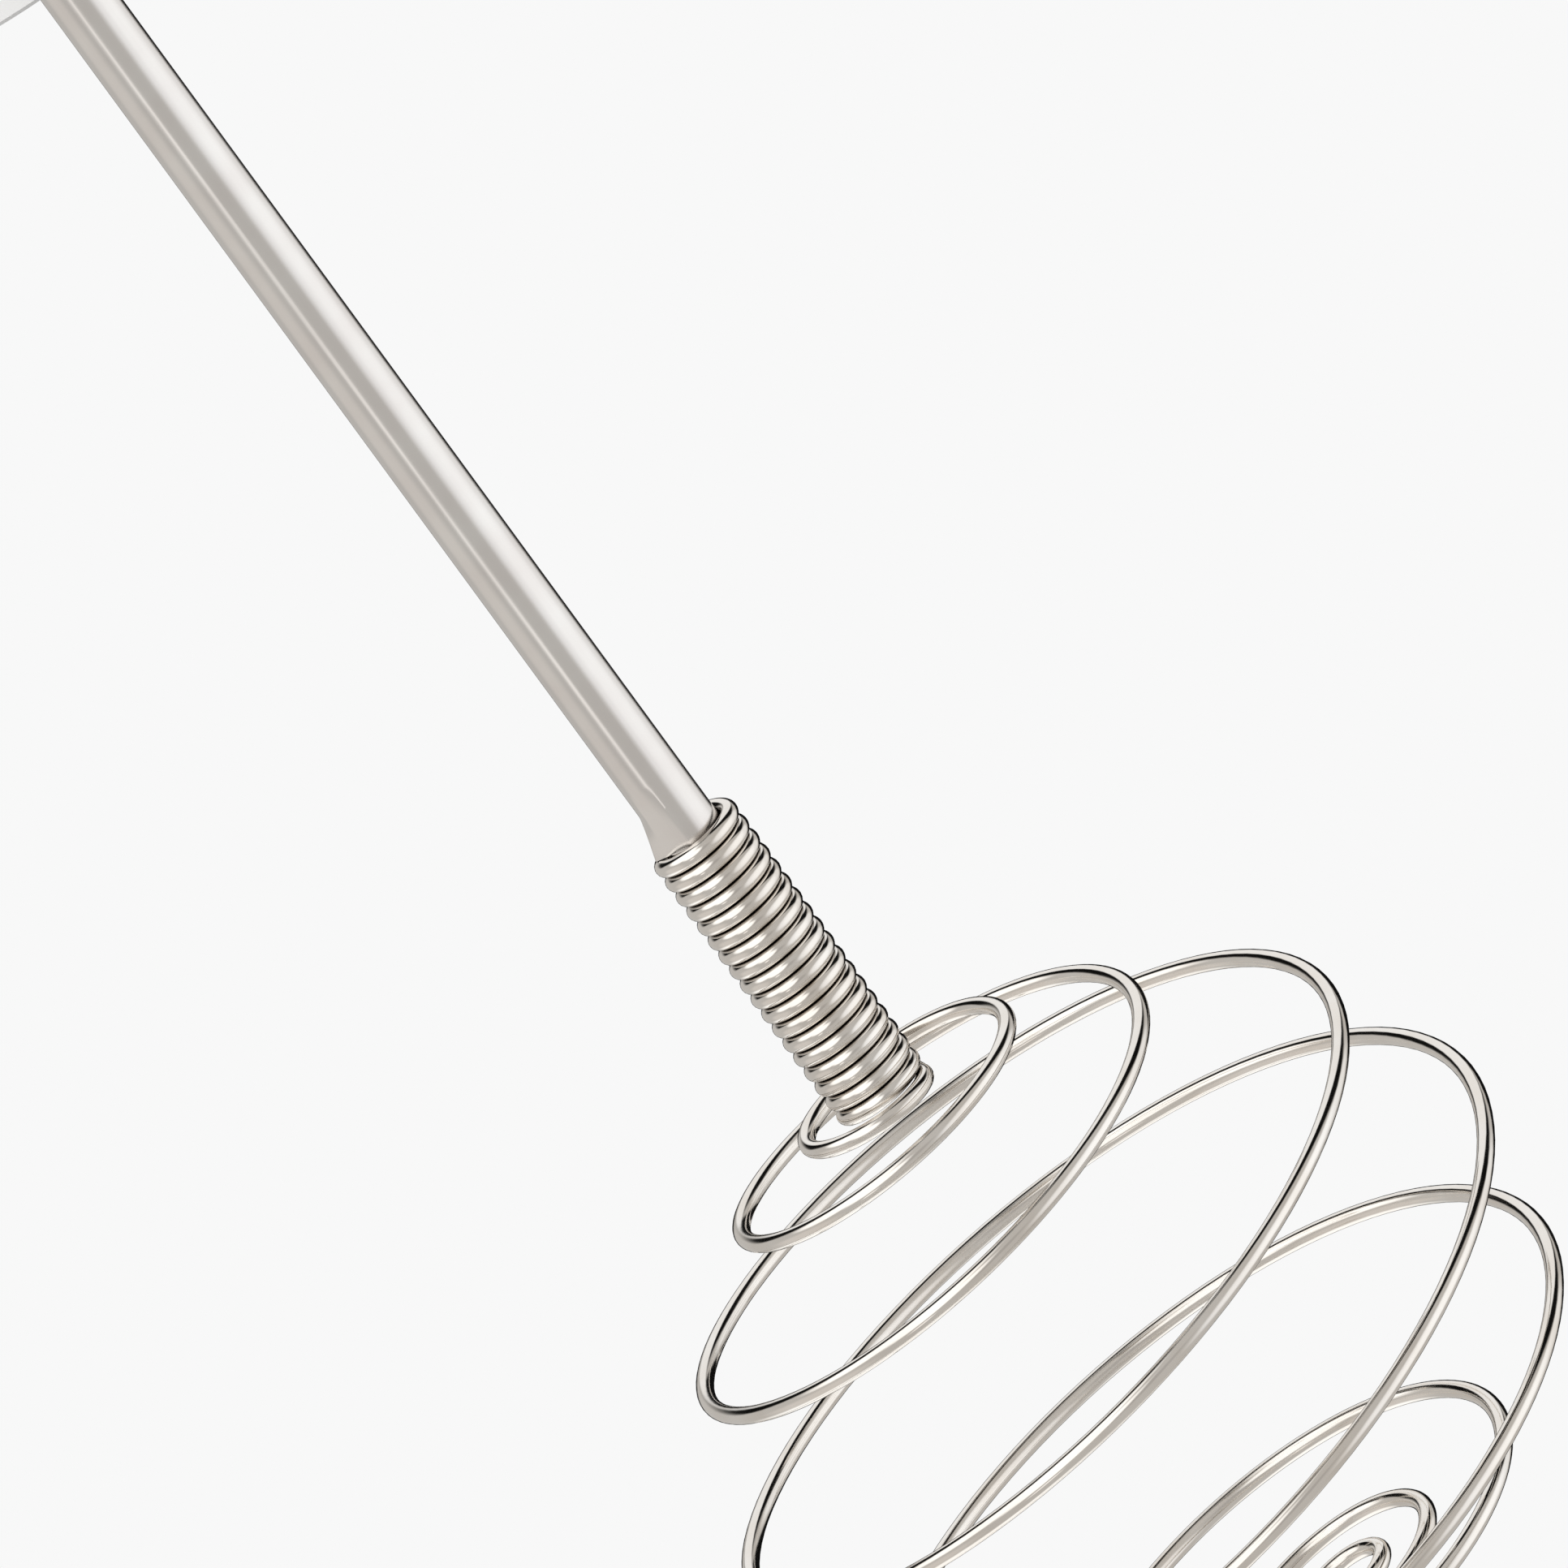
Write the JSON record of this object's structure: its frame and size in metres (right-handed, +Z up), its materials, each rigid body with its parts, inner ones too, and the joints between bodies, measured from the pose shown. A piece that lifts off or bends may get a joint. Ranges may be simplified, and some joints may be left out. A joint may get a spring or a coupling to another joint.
{
  "type": "milk frother",
  "caption": "Hand-held battery milk frother: slim round handle with a thumb button, and a push-in wire whisk whose one wire is a tight coil and then an open spiral ball.",
  "frame": {"origin": "middle of the grip, on the handle's axis, 24 mm below the handle's top", "axes": "+Z up along the spin axis, whisk hanging down; -Y is the side with the button; +X to the right when the button faces the viewer"},
  "size_m": [0.0485, 0.0476, 0.2589],
  "materials": {
    "white_shell": "satin moulded",
    "soft_grey": "matte",
    "seal_rubber": "matte",
    "button_grey": "satin",
    "frame_plastic": "moulded",
    "white_nylon": "moulded",
    "zinc_steel": "plated",
    "spring_steel": "polished",
    "ferrite": "sintered",
    "copper": "bright",
    "enamelled_wire": "enamelled",
    "brass_tab": "bright",
    "sintered_bronze": "matte",
    "lamination": "stacked sheet",
    "ground_steel": "ground",
    "red_flex": "extruded",
    "cell_wrap": "shrink sleeve",
    "nickel": "strip",
    "board_green": "solder mask",
    "chip_black": "moulded",
    "chip_tan": "ceramic",
    "led_clear": "clear",
    "whisk_steel": "polished stainless"
  },
  "bodies": {
    "handle": {"outer_sleeve": "white_shell", "nose_cap": "white_shell", "top_cap": "white_shell", "cap_o_rings": "seal_rubber", "shaft_seal": "seal_rubber", "motor_mount": "frame_plastic", "battery_tray": "frame_plastic", "motor_can": "zinc_steel", "motor_end_bell": "white_nylon", "motor_magnets": "ferrite", "motor_brushes": "copper", "motor_terminals": "brass_tab", "front_bush": "sintered_bronze", "rear_bush": "sintered_bronze", "motor_leads": "red_flex", "battery_cell": "cell_wrap", "battery_tabs": "nickel", "circuit_board": "board_green", "charge_chip": "chip_black", "motor_driver": "chip_black", "chip_parts": "chip_tan", "board_screws": "zinc_steel", "usb_shell": "zinc_steel", "usb_tongue": "chip_black", "tact_switch": "chip_black", "button_gasket": "soft_grey", "indicator_leds": "led_clear", "light_pipes": "led_clear"},
    "rotor": {"rotor_shaft": "ground_steel", "armature_core": "lamination", "armature_windings": "enamelled_wire", "commutator": "copper", "drive_coupling": "white_nylon", "retaining_clip": "spring_steel"},
    "whisk": {"whisk_shaft": "whisk_steel", "whisk_wire": "whisk_steel"},
    "button": {"power_button": "button_grey"},
    "plunger": {"switch_plunger": "chip_black"},
    "cover": {"port_cover": "soft_grey"}
  },
  "joints": [
    {"name": "spindle_spin", "type": "hinge", "parent": "handle", "child": "rotor", "pos_m": [0, 0, -0.1], "axis": [0, 0, 1], "continuous": true},
    {"name": "whisk_pull", "type": "slide", "parent": "rotor", "child": "whisk", "axis": [0, 0, -1], "range_m": [0, 0.014]},
    {"name": "button_press", "type": "slide", "parent": "handle", "child": "button", "axis": [0, 1, 0], "range_m": [0, 0.0005], "stiffness_N_per_m": 2000},
    {"name": "plunger_press", "type": "slide", "parent": "handle", "child": "plunger", "axis": [0, 1, 0], "range_m": [0, 0.0005]},
    {"name": "cover_swing", "type": "hinge", "parent": "handle", "child": "cover", "pos_m": [-0.0076, -0.00257, 0.02345], "axis": [0, -1, 0], "range_deg": [0, 100]}
  ],
  "couplings": [
    {"joint": "plunger_press", "follows": "button_press", "ratio": 1}
  ]
}
